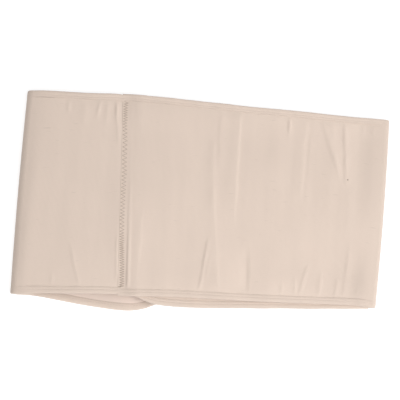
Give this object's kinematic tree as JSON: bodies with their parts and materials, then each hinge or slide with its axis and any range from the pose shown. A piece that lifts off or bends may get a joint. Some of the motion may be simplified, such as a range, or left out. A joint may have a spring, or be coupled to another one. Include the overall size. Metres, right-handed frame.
{
  "type": "abdominal binder",
  "caption": "Wide elastic band with turned hems, wound into a waist tube with a lapped flap sewn down in front, folded flat.",
  "frame": {"origin": "on the surface it lies on, below the middle of its outline", "axes": "+X round the waist from the left fold to the right fold, +Y up the body, +Z out of the surface it lies on"},
  "size_m": [0.3796, 0.216, 0.0187],
  "materials": {
    "knit": "matt fine-ribbed stretch knit, skin beige",
    "hem_knit": "the same knit doubled over and sewn, slightly denser"
  },
  "bodies": {
    "root": {"band": "knit", "top_hem": "hem_knit", "bottom_hem": "hem_knit"}
  },
  "joints": []
}
